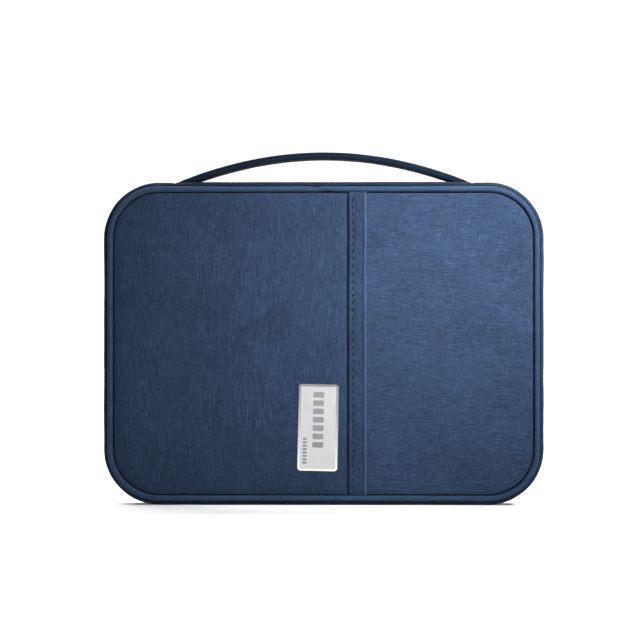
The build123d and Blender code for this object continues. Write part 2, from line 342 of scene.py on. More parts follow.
def bands(tree, place, direction, scale, **sockets):
    """Even bands, scale of them to the metre, with a little distortion."""
    sockets = {"Vector": place, "Scale": scale, **sockets}
    node = add(
        tree, "ShaderNodeTexWave", sockets, wave_type="BANDS", bands_direction=direction
    )
    return node.outputs["Fac"]


def maths(tree, operation, a, b, clamp=False):
    """One maths node on two numbers or outputs."""
    sockets = {0: a, 1: b}
    return add(tree, "ShaderNodeMath", sockets, operation=operation, use_clamp=clamp).outputs[0]


def weighted(tree, *terms):
    """The sum of outputs, each times its own weight."""
    total = None
    for value, weight in terms:
        part = maths(tree, "MULTIPLY", value, weight)
        total = part if total is None else maths(tree, "ADD", total, part)
    return total


def ramp(tree, value, stops):
    """A colour for each value, from stops of place and colour."""
    node = add(tree, "ShaderNodeValToRGB", {"Fac": value})
    elements = node.color_ramp.elements
    while len(elements) < len(stops):
        elements.new(0.5)
    for element, (place, colour) in zip(elements, stops):
        element.position = place
        element.color = (*colour, 1)
    return node.outputs["Color"]


def scaled(colour, factor):
    """A colour made lighter or darker."""
    return tuple(min(1.0, c * factor) for c in colour)


def two_tones(tree, value, colour, variation):
    """A colour that varies a little to each side."""
    stops = [(0.3, scaled(colour, 1 - variation)), (0.7, scaled(colour, 1 + variation))]
    return ramp(tree, value, stops)


def relief(tree, height, strength, depth):
    """The normal for a bump of a depth in millimetres."""
    sockets = {"Height": height, "Strength": strength, "Distance": depth * MM}
    return add(tree, "ShaderNodeBump", sockets).outputs["Normal"]


def melange(
    name, colour, grain="both", contrast=1.0, thread=0.45, sheen=0.03, rough=0.9, gloss=0.12
):
    """Woven polyester with uneven threads. grain is the way the thick ones run: x, z or both."""
    material, tree, shader, place = node_set(name)
    fine, long_run = 1 / (thread * MM) * 0.9, 1 / (5 * MM)
    upright = noise_at(tree, place, (fine, fine, long_run), 3, 0.6)
    level = noise_at(tree, place, (long_run, fine, fine), 3, 0.6)
    share, slub_scale = {
        "z": (0.66, (800, 800, 70)),
        "x": (0.38, (70, 800, 800)),
        "both": (0.5, (300, 300, 300)),
    }[grain]
    threads = weighted(tree, (upright, share), (level, 1 - share))
    slubs = noise_at(tree, place, slub_scale)
    cloud = noise_at(tree, place, (45, 45, 45), 3, 0.6)
    mixed = weighted(tree, (threads, 0.74), (slubs, 0.12), (cloud, 0.14))
    spread_of_tones = 0.13
    stops = []
    for step, change in ((-1, -0.5), (-0.3, -0.14), (0.35, 0.16), (1, 0.75)):
        stops.append((0.5 + spread_of_tones * step, scaled(colour, 1 + change * contrast)))
    wave = {"Distortion": 1.2, "Detail": 1.0, "Detail Scale": 1.5}
    warp, weft = [bands(tree, place, way, 0.314 / (thread * MM), **wave) for way in "XZ"]
    weave = weighted(tree, (maths(tree, "MULTIPLY", warp, weft), 0.5), (threads, 1.2))
    softened = maths(tree, "MULTIPLY", mixed, -0.2)
    fill(tree, shader, {
        "Base Color": ramp(tree, mixed, stops),
        "Normal": relief(tree, weave, 0.35, 0.25),
        "Roughness": maths(tree, "ADD", softened, rough + 0.1, True),
        "Specular IOR Level": gloss,
        "Sheen Weight": sheen,
        "Sheen Roughness": 0.45,
        "Sheen Tint": (*scaled(colour, 5), 1),
    })
    return material


def plain_weave(
    name, colour, pitch=0.35, bump=0.25, rough=0.8, sheen=0.04, variation=0.25, gloss=0.2
):
    """A smooth lining or tape with a fine even weave."""
    material, tree, shader, place = node_set(name)
    cloud = noise_at(tree, place, (60, 60, 60), 3, 0.6)
    speck = noise_at(tree, place, (1 / (pitch * MM),) * 3)
    mixed = weighted(tree, (cloud, 0.5), (speck, 0.5))
    warp = bands(tree, place, "DIAGONAL", 0.25 / (pitch * MM), Distortion=0.6)
    fill(tree, shader, {
        "Base Color": two_tones(tree, mixed, colour, variation),
        "Normal": relief(tree, maths(tree, "ADD", warp, speck), bump, 0.15),
        "Roughness": maths(tree, "ADD", maths(tree, "MULTIPLY", speck, 0.15), rough - 0.08),
        "Specular IOR Level": gloss,
        "Sheen Weight": sheen,
    })
    return material


def metal(name, colour, rough, streak=(60, 60, 2400), variation=0.08, bump=0.08, metallic=1.0):
    """Metal or painted metal with fine drawn streaks and light wear."""
    material, tree, shader, place = node_set(name)
    lines = noise_at(tree, place, streak, 3, 0.6)
    wear = noise_at(tree, place, (180, 180, 180), 4, 0.65)
    mixed = weighted(tree, (lines, 0.6), (wear, 0.4))
    fill(tree, shader, {
        "Base Color": two_tones(tree, mixed, colour, variation),
        "Normal": relief(tree, lines, bump, 0.05),
        "Roughness": maths(tree, "ADD", maths(tree, "MULTIPLY", mixed, 0.18), rough - 0.09),
        "Metallic": metallic,
    })
    return material


def clear_film(name):
    """Thin clear plastic with slow waves in it."""
    material, tree, shader, place = node_set(name)
    fill(tree, shader, {
        "Base Color": (0.30, 0.34, 0.40, 1),
        "Roughness": 0.10,
        "Alpha": 0.13,
        "Specular IOR Level": 0.35,
        "Normal": relief(tree, noise_at(tree, place, (40, 40, 40)), 0.12, 1.0),
    })
    return material


def navy(factor):
    """The case's own blue, lighter or darker."""
    return scaled((0.0104, 0.0208, 0.0442), factor)


left_fabric = melange("fabric_upright_grain", navy(0.88), "z")
# The backing panel's cloth is the pocket's cloth turned a quarter; its lighter colour is painted
# light, for the nap's sheen and the lamp on its right.
right_fabric_painted_lighter = melange("fabric_level_grain_painted_lighter", navy(1.06), "x", rough=0.85, sheen=0.05)
# Gusset and spine cloth, darkened as painted shade on sides that face away from the lamps.
painted_shade_edge_fabric = melange("fabric_edges_painted_shade", navy(0.8), contrast=0.8, sheen=0.04)
# A lighter copy of the cloth: a painted highlight along the pocket band's folded edge.
painted_highlight_fabric = melange("fabric_painted_highlight_fold", navy(1.55), "z", contrast=0.6, thread=0.35, sheen=0.1)
# A near-black copy of the cloth: painted shade in the gap between the spine and the piping.
fold_fabric = melange("fabric_fold_painted_shade", navy(0.4), contrast=0.8)
piping_fabric = melange("fabric_piping", navy(1.2), contrast=0.7, thread=0.35, rough=0.7)
strap_fabric = melange("fabric_strap", navy(0.3), "x", contrast=0.7, sheen=0.02, gloss=0.05)
# Near-black painted shade: the cords in the piping's seams and the dents of the pocket band's
# stitches.
seam_shade_fabric = plain_weave("seam_shade_fabric", navy(0.12), rough=0.95, sheen=0, gloss=0.03)
lining_fabric = plain_weave("lining", (0.014, 0.021, 0.038), rough=0.7, variation=0.12)
pocket_fabric = plain_weave(
    "inner_pockets", (0.026, 0.040, 0.072), pitch=0.45, bump=0.35, variation=0.14
)
binding_fabric = plain_weave("binding_tape", (0.007, 0.009, 0.016), pitch=0.6, bump=0.5)
tape_fabric = plain_weave("zip_tape", (0.014, 0.024, 0.050), pitch=0.5, bump=0.5)
elastic_fabric = plain_weave("elastic", (0.012, 0.013, 0.018), pitch=0.9, bump=0.8)
thread_dark = plain_weave("thread_dark", navy(0.3), pitch=0.25, bump=0.6, gloss=0.1)
thread_navy = plain_weave("thread_navy", navy(0.9), pitch=0.25, bump=0.6, rough=0.55)
thread_light = plain_weave("thread_light", navy(3.0), pitch=0.25, bump=0.6, rough=0.6)
coil_plastic = plain_weave(
    "zip_coil", (0.016, 0.026, 0.052), pitch=0.3, bump=0.1, rough=0.45, sheen=0, gloss=0.4
)
foam_rubber = plain_weave("foam", (0.10, 0.10, 0.11), pitch=0.6, bump=0.4)
slider_paint = metal("slider_paint", (0.030, 0.040, 0.070), 0.35, metallic=0.35)
label_face = metal("label_face", (0.72, 0.73, 0.73), 0.34, (2200, 60, 60), 0.05)
label_polish = metal("label_rim", (0.92, 0.92, 0.92), 0.12, (300, 300, 300), 0.03, 0.02)
label_mark = metal("label_mark", (0.20, 0.20, 0.21), 0.6, (300, 300, 300), 0.1)
film_material = clear_film("clear_film")


# ---------------------------------------------------------------- covers


def spread(low, high, fine, coarse):
    """Places from low to high, close together at the ends and coarse in the middle."""
    near = [0.0]
    step = fine
    while step < coarse:
        near.append(near[-1] + step)
        step *= 1.35
    places = [low + n for n in near]
    ends = [high - n for n in reversed(near)]
    start = places[-1]
    gap = ends[0] - start
    count = max(1, round(gap / coarse))
    places += [start + gap * (i + 1) / count for i in range(count - 1)]
    return places + ends


def cover_rows(x_low, x_high, inset, coarse):
    """Rows of (x, z) that fill a cover between two places, ending on the rounded outline."""
    radius = corner_radius - inset
    turn = 14
    corner = []
    for i in range(turn + 1):
        angle = math.pi / 2 * i / turn
        corner.append((corner_radius - radius * math.cos(angle), math.sin(angle)))
    middle = spread(corner_radius, height - corner_radius, coarse, coarse)[1:-1]
    rows = corner + [(z, 1.0) for z in middle] + [(height - z, s) for z, s in reversed(corner)]
    typical_width = 130
    shares = spread(0.0, 1.0, 0.5 / typical_width, coarse / typical_width)
    grid = []
    for z, s in rows:
        reach = corner_x + radius * s
        low = -reach if x_low < -corner_x else x_low
        high = reach if x_high > corner_x else x_high
        grid.append([(low + (high - low) * t, z) for t in shares])
    return grid


def roll_up(distance, roll):
    """Height share of a padded edge that turns up from its seam."""
    t = min(max(distance / roll, 0.0), 1.0)
    return math.sqrt(max(0.0, 1 - (1 - t) ** 2))


def soft_roll(distance, roll):
    """Height share of a panel that rises steeply from its seam and then ever more gently."""
    t = min(max(distance / roll, 0.0), 1.0)
    return 0.45 * roll_up(distance, roll * 0.4) + 0.55 * (1 - (1 - t) ** 2)


def inflate(obj, pinned, outward):
    """How far each point moves when the fabric is blown out between its seams as cloth."""
    rest = [v.co.copy() for v in obj.data.vertices]
    model = obj.copy()
    model.data = obj.data.copy()
    model.data.transform(Matrix.Scale(SIM_SCALE, 4))
    if sum(p.normal.y for p in model.data.polygons) * outward < 0:
        model.data.flip_normals()
    scene = bpy.context.scene
    scene.collection.objects.link(model)
    model.vertex_groups.new(name="pin").add(pinned, 1.0, "REPLACE")
    cloth = model.modifiers.new("cloth", "CLOTH")
    for key, value in CLOTH.items():
        setattr(cloth.settings, key, value)
    cloth.settings.effector_weights.gravity = 0
    cloth.collision_settings.use_collision = False
    cloth.point_cache.frame_start = 1
    cloth.point_cache.frame_end = SIM_FRAMES
    for f in range(1, SIM_FRAMES + 1):
        scene.frame_set(f)
    evaluated = model.evaluated_get(bpy.context.evaluated_depsgraph_get())
    moved = [v.co / SIM_SCALE for v in evaluated.data.vertices]
    scene.frame_set(1)
    mesh = model.data
    bpy.data.objects.remove(model)
    bpy.data.meshes.remove(mesh)
    return [m - r for r, m in zip(rest, moved)]


def cover(
    name, x_low, x_high, side, seam_y, rise, roll, crown, material,
    edge_roll=3.0, press=None, coarse=3.0, open_low=False,
):
    """One padded fabric panel of a cover. side is -1 for the front and 1 for the back.

    open_low leaves the edge at x_low flat, where it goes under another panel.
    """

    def edge_distances(x, z):
        inner = [99.0]
        if x_low > -corner_x and not open_low:
            inner.append(x - x_low)
        if x_high < corner_x:
            inner.append(x_high - x)
        return depth_inside(x, z, panel_depth), min(inner)

    build = Build()
    rows = []
    for line in cover_rows(x_low, x_high, panel_depth, coarse):
        row = []
        for x, z in line:
            outer, inner = edge_distances(x, z)
            share = soft_roll(outer, roll) * soft_roll(inner, edge_roll)
            fade = math.exp(-max(outer, 0) / 5.0) * min(outer, 1.0)
            pucker = ripple(x, 0, z, 5.0, 3.1) * 0.28 * fade
            row.append((x, side * (seam_y + rise * share + pucker), z))
        rows.append(row)
    build.grid(rows)
    obj = build.make(name, [material])
    pinned = []
    for v in obj.data.vertices:
        x, z = v.co.x / MM, v.co.z / MM
        if min(edge_distances(x, z)) < PIN_WIDTH or (open_low and x < x_low + 0.3):
            pinned.append(v.index)
    shifts = inflate(obj, pinned, side)
    # Foam lies behind the panel, so nearly all of it stays within its crown's height.
    reach = sorted(side * s.y for s in shifts)[int(len(shifts) * 0.98)] if shifts else 0.0
    for v in obj.data.vertices:
        x, z = v.co.x / MM, v.co.z / MM
        if reach > 0.05 * MM:
            shift = shifts[v.index]
            shift.y *= min(1.0, crown * MM / reach)
        else:
            dome = (1 - math.exp(-min(edge_distances(x, z)) / 22.0)) * crown
            shift = Vector((0, side * dome * MM, 0))
        v.co += shift
        if press:
            v.co.y = press(x, v.co.y / MM, z) * MM
    obj.data.update()
    subdivide(obj)
    return obj


def press_label(x, y, z):
    """Keeps the pocket's fabric behind the label plate, easing back to its own height around it."""
    gap_x = max(label_low[0] / MM - x, x - label_high[0] / MM, 0)
    gap_z = max(label_low[2] / MM - z, z - label_high[2] / MM, 0)
    ease = smoothstep(math.hypot(gap_x, gap_z) / 9.0)
    limit = label_back + 0.05
    return y if y > limit else limit + (y - limit) * ease

pocket_panel = cover(
    "pocket_panel_fabric", -half_width, mouth_x - 0.1, -1, 11.9, 2.3, 12.0, 1.2, left_fabric,
    edge_roll=10.0, press=press_label,
)
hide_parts("front_pocket_panel")

# This panel's lighter cloth colour is painted light.
backing_panel = cover(
    "backing_panel_fabric", mouth_x + 2.0, half_width, -1, 11.8, 1.4, 13.0, 1.0, right_fabric_painted_lighter,
    open_low=True,
)
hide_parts("front_panel")
for piece in (pocket_panel, backing_panel):
    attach(piece, "front_half")

back_cover = cover(
    "back_cover_fabric", -half_width, half_width, 1, 11.9, 1.8, 12.0, 1.6, left_fabric, coarse=3.4
)
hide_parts("back_panel")
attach(back_cover, "back_half")


def pocket_hem_band():
    """The folded band along the pocket's mouth, stitched beside its valley."""
    build = Build()
    low, high = mouth_x + 0.1, band_edge_x
    section = [
        (low - 0.4, -12.4), (low + 0.1, -13.3), (low + 0.7, -14.0), (low + 1.5, -14.2),
        (low + 2.3, -13.95), (low + 3.0, -13.6), (low + 3.8, -13.85), (low + 5.2, -14.0),
        (low + 7.5, -13.9), (high - 2.4, -13.6), (high - 1.6, -14.3), (high - 0.9, -14.2),
        (high - 0.1, -13.6), (high - 0.1, -13.1), (high - 0.9, -12.9), (high - 3.0, -12.9),
        (low + 3.0, -12.8), (low + 0.4, -12.2),
    ]
    bottom, top = panel_depth - 1.0, height - panel_depth + 1.0
    count = 90
    rows = []
    for i in range(count + 1):
        z = bottom + (top - bottom) * i / count
        end = min(z - bottom, top - z)
        sink = 1.5 * (1 - roll_up(end, 5.0))
        row = []
        for k, (x, y) in enumerate(section):
            wander = 0.16 * ripple(x, 0, z, 22.0, 1.7) + 0.07 * ripple(x, 0, z, 6.0, 5.0)
            gather = 0.06 * math.cos(2 * math.pi * z / 4.3) * bell(x - low - 2.8, 1.3)
            row.append((x + wander, y + sink + wander * 0.6 + gather, z))
        rows.append(row)
    build.bar(rows)
    painted_highlight_edge = (10, 11)  # the section's places on the folded edge, which get a painted highlight
    for i in range(count):
        for j in painted_highlight_edge:
            build.slots[i * len(section) + j] = 2
    line = []
    for i in range(60):
        z = bottom + 3.5 + (top - bottom - 7) * i / 59
        end = min(z - bottom, top - z)
        x = low + 2.8 + 0.16 * ripple(low, 0, z, 22.0, 1.7)
        line.append((x, -13.72 + 1.5 * (1 - roll_up(end, 5.0)), z))
    # The band's stitches are near-black, painted shade for their dents.
    build.stitch_row(line, (0, -1, 0), 4.3, 1, length=2.9, width=0.7, slant=0.45)
    return subdivide(build.make("pocket_hem_band", [left_fabric, seam_shade_fabric, painted_highlight_fabric]))


hem_band = pocket_hem_band()
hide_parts("pocket_band")
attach(hem_band, "front_half")


# ---------------------------------------------------------------- piping and gussets


def piping(name, side):
    """The covered cord round one cover; its ends cross at the middle of the spine."""
    build = Build()
    path = outline(0.0, 1.6)
    points = []
    radii = []
    total = len(path)
    overlap = 5
    for i, (x, z, nx, nz) in enumerate(path):
        d = piping_depth + 0.12 * ripple(x, side * 5, z, 26.0, 2.2)
        y = side * (piping_y + 0.15 * ripple(x, side * 9, z, 31.0, 6.2))
        points.append([x - nx * d, y, z - nz * d])
        bend = abs(nx * nz) * 2
        crease = 0.05 * ripple(x, 7, z, 1.9, 8.8) * (0.6 + bend)
        radii.append(piping_radius * (1 + 0.03 * ripple(x, 3, z, 9.0, 4.4) + crease))
    for k in range(overlap + 3):
        ease = smoothstep(1 - k / (overlap + 2))
        points[k][0] += 3.2 * ease
        points[k][1] -= side * 1.5 * ease
        points[k][2] -= 0.4 * ease
        points[-1 - k][0] -= 3.2 * ease
        points[-1 - k][1] -= side * 1.1 * ease
        points[-1 - k][2] += 0.5 * ease
        radii[k] *= 1 - 0.25 * ease
        radii[-1 - k] *= 1 - 0.2 * ease
    build.tube([tuple(p) for p in points], radii, 14)
    ring = outline(0.0, 2.2)
    # Two near-black cords beside the piping, one at the panel and one at the gusset, are painted
    # shade in its seams.
    for depth, y, radius in ((panel_depth, piping_y - 0.3, 0.65), (2.35, piping_y - 1.1, 0.5)):
        seam = [(x - nx * depth, side * y, z - nz * depth) for x, z, nx, nz in ring]
        build.tube(seam[:-1], radius, 6, 1, closed=True)
    return build.make(name, [piping_fabric, seam_shade_fabric])


for side, body, word in HALVES:
    cord = piping(word + "_piping_cord", side)
    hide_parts(word + "_piping")
    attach(cord, body)


gusset_section = [
    (3.3, 10.75), (2.2, 10.72), (1.1, 10.45), (0.35, 9.85), (0.05, 8.9), (0.0, 8.0), (0.12, 7.0),
    (0.45, 6.1), (1.0, 5.2), (1.75, 4.3), (2.15, 3.75), (2.45, 3.35), (2.75, 3.2), (3.05, 3.3),
    (3.15, 3.7), (2.6, 4.9), (1.6, 6.2), (1.0, 7.6), (1.1, 9.2), (2.2, 9.9), (3.4, 10.0),
]


def gusset(name, side):
    """The fabric band between the piping and the zip, with its hem stitched down beside the zip."""
    build = Build()
    hem_y = 4.4
    outward = outline(spine_half, 6.0)

    def wave(x, y, z):
        near_zip = bell(abs(y) - 4.3, 1.6)
        flat = smoothstep(z / 2.5)
        swell = 0.22 * ripple(x, side * 11, z, 19.0, 9.1) + 0.10 * ripple(x, side * 4, z, 6.0, 2.7)
        gather = 0.10 * ripple(x, side * 2, z, 2.6, 7.7) * near_zip
        return (swell * 0.8 * flat + gather - 0.05, side * swell * 0.6)

    def up(p):
        nearest = min(outward, key=lambda q: (q[0] - p[0]) ** 2 + (q[1] - p[2]) ** 2)
        return (nearest[2], 0, nearest[3])

    section = [(d, side * y) for d, y in gusset_section]
    band(build, outline(spine_half + 0.6, 1.8), section, wave=wave)
    line = []
    for x, z, nx, nz in outline(spine_half + 2.5, 1.8):
        depth = 1.72 - wave(x, side * hem_y, z)[0]
        line.append((x - nx * depth, side * hem_y, z - nz * depth))
    build.stitch_row(line, up, 3.4, 1, width=SEAM_THREAD)
    # The band's cloth is darkened as painted shade.
    return build.make(name, [painted_shade_edge_fabric, thread_navy])


for side, body, word in HALVES:
    side_band = gusset(word + "_gusset_fabric", side)
    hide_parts(word + "_gusset")
    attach(side_band, body)


# ---------------------------------------------------------------- zip

coil_depth = 3.95
tooth_pitch = 1.35
tape_section = (
    (4.6, 0.12), (4.5, 1.8), (4.12, 2.2), (4.05, 3.4), (3.95, 5.6), (4.3, 5.6), (4.6, 3.4),
    (4.85, 1.8), (4.9, 0.12),
)
ridge_section = ((3.9, 2.02), (3.62, 2.3), (3.9, 2.62), (4.3, 2.3))
# One turn of the coil: place across the zip, height above the coil's middle, lean along it.
tooth_turn = (
    (2.25, 0.0, 0.28), (1.9, 0.5, 0.25), (0.9, 0.62, 0.08), (0.1, 0.45, -0.05),
    (-0.22, 0.0, -0.05), (0.1, -0.4, 0.0), (0.9, -0.55, 0.15), (1.9, -0.4, 0.32),
    (2.25, 0.0, 0.36),
)


def zip_half(name, side):
    """One tape with its row of coil teeth."""
    build = Build()
    for section, start in ((tape_section, 0.8), (ridge_section, 2.8)):
        band(build, outline(spine_half + start, 2.0), [(d, side * y) for d, y in section])
    line = outline(spine_half + 3.4, 0.45)
    corner_share = (corner_radius - coil_depth) / corner_radius
    walked = 0.0
    target = 0.0 if side < 0 else tooth_pitch / 2
    for (x0, z0, nx, nz), (x1, z1, _, _) in zip(line, line[1:]):
        run = math.dist((x0, z0), (x1, z1)) * (1 if nx * nz == 0 else corner_share)
        if walked + run >= target:
            along = Vector((x1 - x0, 0, z1 - z0)).normalized()
            out = Vector((nx, 0, nz))
            base = Vector((x0, 0, z0)) - out * coil_depth
            loop = []
            for y, lift, lean in tooth_turn:
                loop.append(tuple(base + out * lift + along * lean + Vector((0, side * y, 0))))
            build.tube(loop, 0.27, 5, 1, up=tuple(along))
            target += tooth_pitch
        walked += run
    return build.make(name, [tape_fabric, coil_plastic])


for side, body, word in HALVES:
    chain = zip_half(word + "_zip_chain", side)
    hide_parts(word + "_zip_tape", word + "_zip_coil")
    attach(chain, body)


def paint(material, rounding, *nodes):
    """Gives CAD nodes their material and rounds their sharp edges."""
    for node in nodes:
        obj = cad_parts[node]
        obj.data.materials.clear()
        obj.data.materials.append(material)
        bevel(obj, rounding)


paint(slider_paint, 0.18, "zip_slider", "zip_pull")
for _, _, word in HALVES:
    paint(slider_paint, 0.25, word + "_stop_left", word + "_stop_right")
    paint(foam_rubber, 0.4, word + "_foam")
paint(slider_paint, 0.1, "label_washer")
paint(plain_weave("board", (0.30, 0.27, 0.22), pitch=0.8), 0.2, "spine_stiffener")


# ---------------------------------------------------------------- spine


def spine_cover():
    """The spine's outer fabric, with a row of stitches along each side."""
    build = Build()
    rows = []
    half = [1.5, 4.5, 6.6, 7.5] + [spine_edge + y for y in (-1.6, -0.9, -0.25, 0.1)]
    across = [-y for y in reversed(half)] + half
    count = 70
    for i in range(count + 1):
        x = -spine_half + 2 * spine_half * i / count
        end = spine_half - abs(x)
        row = []
        for y in across:
            side_share = roll_up(spine_edge + 0.1 - abs(y), 1.3)
            share = min(side_share, 0.35 + 0.65 * roll_up(end, 1.2))
            swell = 0.14 * ripple(x, y, 0, 17.0, 3.3) + 0.06 * ripple(x, y, 0, 5.0, 1.1)
            seam = bell(abs(y) - spine_edge + 1.6, 0.9)
            lift = (1.45 - 0.3 * seam) * share
            row.append((x, y, spine_top - 1.05 + lift + swell * share))
        row.append((x, spine_edge - 0.4, spine_top - 1.05))
        row.append((x, -spine_edge + 0.4, spine_top - 1.05))
        rows.append(row)
    build.bar(rows)
    for y in (-spine_edge + 1.6, spine_edge - 1.6):
        z = spine_top + 0.05
        line = straight((-spine_half + 2, y, z), (spine_half - 2, y, z), 60)
        build.stitch_row(line, (0, 0, 1), 3.4, 1, width=SEAM_THREAD)
    for x in (-spine_half + 1.8, spine_half - 1.8):
        z = spine_top + 0.35
        line = straight((x, -7.5, z), (x, 7.5, z), 10)
        build.stitch_row(line, (0, 0, 1), 2.6, 1, width=0.5)
    # The spine shares the gussets' darkened cloth, which is painted shade.
    return build.make("spine_cover_fabric", [painted_shade_edge_fabric, thread_dark])


spine_fabric = spine_cover()
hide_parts("spine_panel")
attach(spine_fabric, "spine")


def fold_strip(name, side):
    """The fabric that folds between the spine and one cover's piping, near-black as painted shade
    in the gap.
    """
    build = Build()
    section = [
        (spine_edge + y, spine_top + z) for y, z in (
            (-0.9, -0.75), (-0.1, -0.7), (0.6, -0.95), (1.0, -1.6), (1.1, -2.4), (0.7, -3.1),
            (0.2, -2.4), (0.1, -1.7), (-0.9, -1.4),
        )
    ]
    rows = []
    count = 80
    for i in range(count + 1):
        x = -spine_half - 6 + 2 * (spine_half + 6) * i / count
        row = []
        for y, z in section:
            swell = 0.10 * ripple(x, y, z, 9.0, 7.3) + 0.08 * ripple(x, y, z, 3.0, 2.9)
            row.append((x, side * (y + swell), z + swell * 0.6))
        rows.append(row)
    build.bar(rows)
    strip = build.make(name, [fold_fabric])
    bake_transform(strip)


fold_strip("front_fold_fabric", -1)
fold_strip("back_fold_fabric", 1)
# ---------------------------------------------------------------- handle


def arch(x):
    """Height of the strap's top at a place along the spine."""
    t = (handle_reach - abs(x)) / handle_reach
    low = spine_top + 0.7
    rise = 0.40 * handle_reach
    return (
        low * (1 - 3 * t * t + 2 * t ** 3)
        + rise * (t - 2 * t * t + t ** 3)
        + handle_top * (3 * t * t - 2 * t ** 3)
    )


def strap_half(name, end):
    """Half of the strap, from its sewn end to the middle of the arch."""
    build = Build()
    count = 64
    w = handle_half_width
    # Half of the section, top and under side: place across, and depth. From half the thickness
    # down, a depth is a share of the thickness.
    half = [(3.5, -0.12), (w - 3.0, 0.0), (w - 2.2, 0.14), (w - 1.5, 0.0), (w - 0.6, 0.02)]
    half += [(w - 0.12, 0.18), (w, 0.5)]
    under = [(w, 0.82), (w - 0.6, 1.0), (w - 2.2, 0.93)]
    section = [(-y, d) for y, d in reversed(half)] + [(0, -0.16)] + half
    section += under + [(0, 1.02)] + [(-y, d) for y, d in reversed(under)]
    rows = []
    seams = {-1: [], 1: []}
    for i in range(count + 1):
        x = end * (handle_reach - handle_reach * i / count)
        thickness = handle_thickness - 1.6 * math.exp(-((handle_reach - abs(x)) / 5.0))
        fall = math.atan(arch(abs(x) - 0.5) - arch(min(abs(x) + 0.5, handle_reach)))
        down = Vector((-end * math.sin(fall), 0, -math.cos(fall)))
        row = []
        for y, d in section:
            depth = thickness * d if d >= 0.5 else d
            swell = 0.10 * ripple(x, y, 0, 12.0, 4.2) + 0.05 * ripple(x, y, 0, 3.5, 8.2)
            row.append(tuple(Vector((x, y, arch(x))) + down * (depth + swell)))
        rows.append(row)
        for s, seam in seams.items():
            seam.append(tuple(Vector((x, s * (w - 2.2), arch(x))) + down * 0.16))
    first = build.grid(rows, close_columns=True)
    build.cap(first, len(section))
    for seam in seams.values():
        build.stitch_row(seam[2:], (0, 0, 1), 3.1, 1, width=0.45)
    for near in (-1, 1):  # the crossed stitches over the sewn end
        line = []
        for i in range(7):
            x = end * (handle_reach - 1.5 - 7.5 * (i / 6))
            line.append((x, near * (w - 3.2) * (1 - 2 * (i / 6)), arch(x) + 0.08))
        build.stitch_row(line, (0, 0, 1), 2.4, 1, width=0.45)
    strap = build.make(name, [strap_fabric, thread_dark])
    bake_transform(strap)
    return strap


left_strap = strap_half("strap_left_half", -1)
right_strap = strap_half("strap_right_half", 1)
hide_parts("handle_strap", "handle_end_left")
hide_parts("handle_end_right")


# ---------------------------------------------------------------- label

paint(label_polish, 0.12, "label_plate")
label_centre = [(label_low[i] + label_high[i]) / 2 / MM for i in (0, 2)]
label_tilt = math.radians(1.2)


def on_label(u, v, out):
    """A place on the tilted plate: u across, v along, out in front of its face."""
    c, s = math.cos(label_tilt), math.sin(label_tilt)
    x, z = label_centre
    return (x + u * c + v * s, label_front + 0.3 - out, z - u * s + v * c)


def label_detail():
    """The brushed face set inside the polished rim, with plain engraved bars."""
    build = Build()
    half_u, half_v = 23.5 / 2 - 1.35, 51.0 / 2 - 1.35
    thickness = 0.02

    def pad(u0, u1, v0, v1, radius, out, slot):
        ring = []
        corners = ((u1, v1, -1, -1), (u0, v1, 1, -1), (u0, v0, 1, 1), (u1, v0, -1, 1))
        for k, (u, v, du, dv) in enumerate(corners):
            ring += arc((u + du * radius, v + dv * radius), radius, 90 * k, 4)
        back = [on_label(u, v, out - thickness) for u, v in ring]
        front = [on_label(u, v, out) for u, v in ring]
        first = build.grid([back, front], slot, close_columns=True)
        build.cap(first + len(ring), len(ring), slot)

    pad(-half_u, half_u, -half_v, half_v, 0.8, 0.04, 0)
    for i in range(7):
        v = 21.0 - i * 4.9
        pad(-3.2, 3.2, v - 3.4, v, 0.5, 0.06, 1)
    for i in range(8):
        v = -6.2 - i * 2.0
        pad(-9.0, -6.4, v - 1.2, v, 0.4, 0.06, 1)
    return build.make("label_face_detail", [label_face, label_mark], smooth=False)


label_art = label_detail()
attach(label_art, "front_half")


# ---------------------------------------------------------------- inside


def bind_mouth(build, columns, mouth):
    """Gives the faces near a pocket's mouth the binding's material, slot 2."""
    wide = len(columns) - 1
    for k in range(len(build.slots)):
        if columns[k % wide] > mouth - BINDING_WIDTH:
            build.slots[k] = 2


